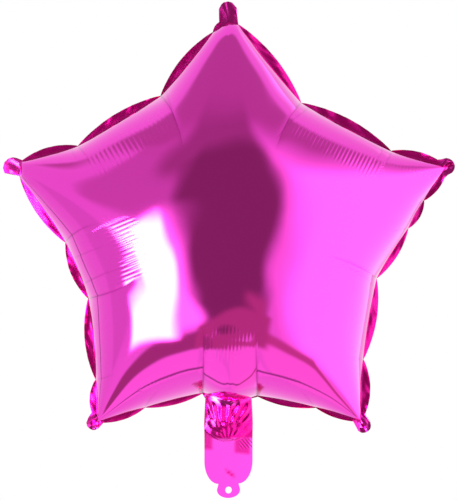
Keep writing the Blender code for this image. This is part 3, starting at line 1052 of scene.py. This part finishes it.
def whiteToCamera(name, colour):
    # diffuse for the light that falls on it, plain white for the camera and in reflections
    material = bpy.data.materials.new(name)
    material.use_nodes = True
    nodes = material.node_tree.nodes
    links = material.node_tree.links
    nodes.clear()
    path = nodes.new("ShaderNodeLightPath").outputs
    seen = mathNode(nodes, links, "MAXIMUM", path["Is Camera Ray"], path["Is Glossy Ray"])
    seen = mathNode(nodes, links, "MAXIMUM", seen, path["Is Transmission Ray"])
    plain = nodes.new("ShaderNodeBsdfDiffuse")
    plain.inputs["Color"].default_value = colour
    white = nodes.new("ShaderNodeEmission")
    white.inputs["Color"].default_value = (1, 1, 1, 1)
    mix = nodes.new("ShaderNodeMixShader")
    links.new(seen, mix.inputs[0])
    links.new(plain.outputs[0], mix.inputs[1])
    links.new(white.outputs[0], mix.inputs[2])
    out = nodes.new("ShaderNodeOutputMaterial")
    links.new(mix.outputs[0], out.inputs["Surface"])
    return material


def plane(name, corners, material):
    bm = bmesh.new()
    bmesh.ops.create_grid(bm, x_segments=1, y_segments=1, size=1)
    for vert, corner in zip(bm.verts, corners):
        vert.co = corner
    mesh = bpy.data.meshes.new(name)
    bm.to_mesh(mesh)
    bm.free()
    sheet = bpy.data.objects.new(name, mesh)
    sheet.data.materials.append(material)
    bpy.context.scene.collection.objects.link(sheet)
    return sheet


# Directions are seen from the balloon: azimuth 0 is towards the camera and grows to the right of it.
# Each zone of the studio: azimuths, elevations, softness of its borders (degrees), level, warmth, and
# slanted borders (across, up, limit) that cut it off, where across x azimuth + up x elevation must be
# less than the limit
studio = {
    "floorHeight": -1.25,
    "backdropDistance": 4.5,
    "warmTint": (1.0, 0.70, 0.62),
    "plain": (1.0, 0.0),
    "zones": [
        ("leftWall", (-118, -20), (-30, 48), (10, 10), 0.92, 0.0, ()),
        ("upperLeft", (-64, -20), (8, 50), (3, 4), 0.66, 0.2, ()),
        ("ceiling", (-105, 105), (49, 110), (8, 6), 0.54, 0.4, ()),
        ("frontCeiling", (-40, 26), (30, 58), (8, 8), 0.40, 0.5, ()),
        ("rightWall", (31, 142), (-49, 38), (12, 8), 2.3, 0.1, ()),
        ("rightLow", (3, 150), (-110, -52), (3, 3), 1.15, 0.2, ()),
        ("lowRight", (3, 50), (-55, -49), (1.6, 1.6), 0.60, 1.0, ()),
        ("lowRightTip", (47, 110), (-80, -45), (1.6, 1.6), 0.60, 1.0, ((0.38, 1, -31), (-0.38, -1, 36))),
        ("lowFront", (-130, -8), (-110, -58), (3, 3), 1.15, 0.1, ()),
        ("lowLeft", (-84, -8), (-58, -43), (2, 2), 0.40, 0.8, ()),
        ("windowFoot", (-40, -2), (-39, -18), (3, 4), 2.4, 0.0, ()),
        ("darkRoom", (-24, 22), (-55, 42), (5, 5), 0.25, 0.7, ((-1, -1, 48), (1, -0.45, 30))),
        ("lowRoom", (6, 24), (-55, -28), (3, 5), 0.52, 1.0, ((1, -0.45, 30),)),
        ("lowMiddle", (-15, 24), (-58.5, -39), (3, 2), 0.52, 1.0, ((1, -0.45, 35),)),
        ("windowGlow", (-38, -20), (-34, 8), (8, 8), 2.4, 0.0, ()),
        ("window", (-64, -27), (-60, 8.5), (3, 5), 17.0, 0.0,
         ((-0.70, 1, 37), (-0.35, -1, 54), (1, 0.8, -22.5))),
        ("windowNotch", (-90, -47), (-40, 0), (2, 2), 0.80, 0.0, ((0.35, 1, -28.5), (0.2, -1, 9.5))),
    ],
    # the dark border of the white sheet behind the balloon, where forward + spread x |across| lies
    # within the span; forward and across are parts of the direction
    "borderLevel": 0.30,
    "borderSpread": 0.88,
    "borderMiddle": 0.12,       # |across| counts as at least this much
    "borderSpan": (0.142, 0.198),
    "borderSoft": (0.02, 3, 0.04),      # of the span, the heights and the right end
    "borderHeights": (-120, -3),
    "borderRight": 0.28,
    "backdropWhite": (0.85, 0.85, 0.85, 1),
    "floorGrey": (0.82, 0.82, 0.82, 1),
    "floorRoughness": 0.7,
    "lampPlace": (-0.9, -1.2, 2.6),
    "lampAim": (0, 0, 0.22),
    "lampSize": (1.2, 1.2),
    "lampRadiance": 0.8,
}


def softStep(nodes, links, value, border, soft, ends):
    ramp = nodes.new("ShaderNodeMapRange")
    ramp.interpolation_type = "SMOOTHSTEP"
    ramp.inputs["From Min"].default_value = border - soft
    ramp.inputs["From Max"].default_value = border + soft
    ramp.inputs["To Min"].default_value, ramp.inputs["To Max"].default_value = ends
    links.new(value, ramp.inputs["Value"])
    return ramp.outputs["Result"]


def within(nodes, links, value, low, high, soft):
    # 1 inside the span, 0 outside, with soft borders
    above = softStep(nodes, links, value, low, soft, (0, 1))
    below = softStep(nodes, links, value, high, soft, (1, 0))
    return mathNode(nodes, links, "MULTIPLY", above, below)


def slantedBorder(nodes, links, azimuth, elevation, border, soft):
    across, up, limit = border
    value = mathNode(nodes, links, "ADD", mathNode(nodes, links, "MULTIPLY", azimuth, across),
                     mathNode(nodes, links, "MULTIPLY", elevation, up))
    return softStep(nodes, links, value, limit, soft, (1, 0))


def warmed(level, warmth):
    return (*(level * (1 - warmth * (1 - part)) for part in studio["warmTint"]), 1)


def zoneMask(nodes, links, azimuth, elevation, azimuths, elevations, soft, borders):
    mask = mathNode(nodes, links, "MULTIPLY", within(nodes, links, azimuth, *azimuths, soft[0]),
                    within(nodes, links, elevation, *elevations, soft[1]))
    for border in borders:
        slanted = slantedBorder(nodes, links, azimuth, elevation, border, soft[0])
        mask = mathNode(nodes, links, "MULTIPLY", mask, slanted)
    return mask


def sheetBorder(nodes, links, across, forward, elevation):
    sideways = mathNode(nodes, links, "ABSOLUTE", across)
    sideways = mathNode(nodes, links, "MAXIMUM", sideways, studio["borderMiddle"])
    spread = mathNode(nodes, links, "MULTIPLY", sideways, studio["borderSpread"])
    spread = mathNode(nodes, links, "ADD", forward, spread)
    spanSoft, heightSoft, rightSoft = studio["borderSoft"]
    mask = mathNode(nodes, links, "MULTIPLY", within(nodes, links, spread, *studio["borderSpan"], spanSoft),
                    within(nodes, links, elevation, *studio["borderHeights"], heightSoft))
    right = within(nodes, links, across, -2, studio["borderRight"], rightSoft)
    return mathNode(nodes, links, "MULTIPLY", mask, right)


def buildSky():
    # what the film mirrors: zones of the studio, laid over one another in their order
    world = bpy.data.worlds.new("studio")
    bpy.context.scene.world = world
    world.use_nodes = True
    nodes = world.node_tree.nodes
    links = world.node_tree.links
    nodes.clear()
    direction = nodes.new("ShaderNodeTexCoord")
    parts = nodes.new("ShaderNodeSeparateXYZ")
    links.new(direction.outputs["Generated"], parts.inputs[0])
    across = parts.outputs["X"]
    forward = mathNode(nodes, links, "MULTIPLY", parts.outputs["Y"], -1.0)
    azimuth = mathNode(nodes, links, "DEGREES", mathNode(nodes, links, "ARCTAN2", across, forward))
    elevation = mathNode(nodes, links, "DEGREES", mathNode(nodes, links, "ARCSINE", parts.outputs["Z"]))
    level = warmed(*studio["plain"])
    for name, azimuths, elevations, soft, zoneLevel, warmth, borders in studio["zones"]:
        mask = zoneMask(nodes, links, azimuth, elevation, azimuths, elevations, soft, borders)
        level = mixColour(nodes, links, level, mask, warmed(zoneLevel, warmth))
    mask = sheetBorder(nodes, links, across, forward, elevation)
    level = mixColour(nodes, links, level, mask, warmed(studio["borderLevel"], 0.0))
    path = nodes.new("ShaderNodeLightPath")
    seen = mixColour(nodes, links, level, path.outputs["Is Camera Ray"], (1, 1, 1, 1))
    back = nodes.new("ShaderNodeBackground")
    links.new(seen, back.inputs["Color"])
    out = nodes.new("ShaderNodeOutputWorld")
    links.new(back.outputs[0], out.inputs["Surface"])


def paleFloorMaterial():
    # the film mirrors the studio's zones instead of the floor
    material = bpy.data.materials.new("paleFloor")
    material.use_nodes = True
    nodes = material.node_tree.nodes
    links = material.node_tree.links
    paper = nodes["Principled BSDF"]
    paper.inputs["Base Color"].default_value = studio["floorGrey"]
    paper.inputs["Roughness"].default_value = studio["floorRoughness"]
    path = nodes.new("ShaderNodeLightPath")
    clear = nodes.new("ShaderNodeBsdfTransparent")
    mix = nodes.new("ShaderNodeMixShader")
    links.new(path.outputs["Is Glossy Ray"], mix.inputs[0])
    links.new(paper.outputs[0], mix.inputs[1])
    links.new(clear.outputs[0], mix.inputs[2])
    links.new(mix.outputs[0], nodes["Material Output"].inputs["Surface"])
    return material


def buildStudio():
    buildSky()
    far = studio["backdropDistance"]
    low = studio["floorHeight"]
    white = whiteToCamera("paperWhite", studio["backdropWhite"])
    plane("backdrop", [(-far, far, low), (far, far, low), (-far, far, far), (far, far, far)], white)
    pale = paleFloorMaterial()
    plane("floor", [(-far, -far, low), (far, -far, low), (-far, far, low), (far, far, low)], pale)
    areaLamp("softbox", studio["lampPlace"], studio["lampAim"], *studio["lampSize"], studio["lampRadiance"])


# The photo is taken from straight ahead
photo = {
    "pixel": 0.000881,          # metres a pixel at the seam
    "height": 500,              # pixels
    "eyeletRow": 490,
    "distance": 2.0,
}


def buildCamera():
    camera = bpy.data.cameras.new("camera")
    camera.lens = camera.sensor_width * photo["distance"] / (photo["height"] * photo["pixel"])
    view = bpy.data.objects.new("camera", camera)
    aboveEyelet = (photo["eyeletRow"] - photo["height"] / 2) * photo["pixel"]
    view.location = (0, -photo["distance"], aboveEyelet)
    view.rotation_euler = (math.pi / 2, 0, 0)
    bpy.context.scene.collection.objects.link(view)
    bpy.context.scene.camera = view


buildCamera()
buildStudio()
balloon = buildBalloon()
balloon.data.materials.append(foilMaterial())
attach(balloon, "root")
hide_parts("foil_star_balloon")
bpy.context.scene.view_settings.view_transform = "Standard"
print("materials and stage ready")
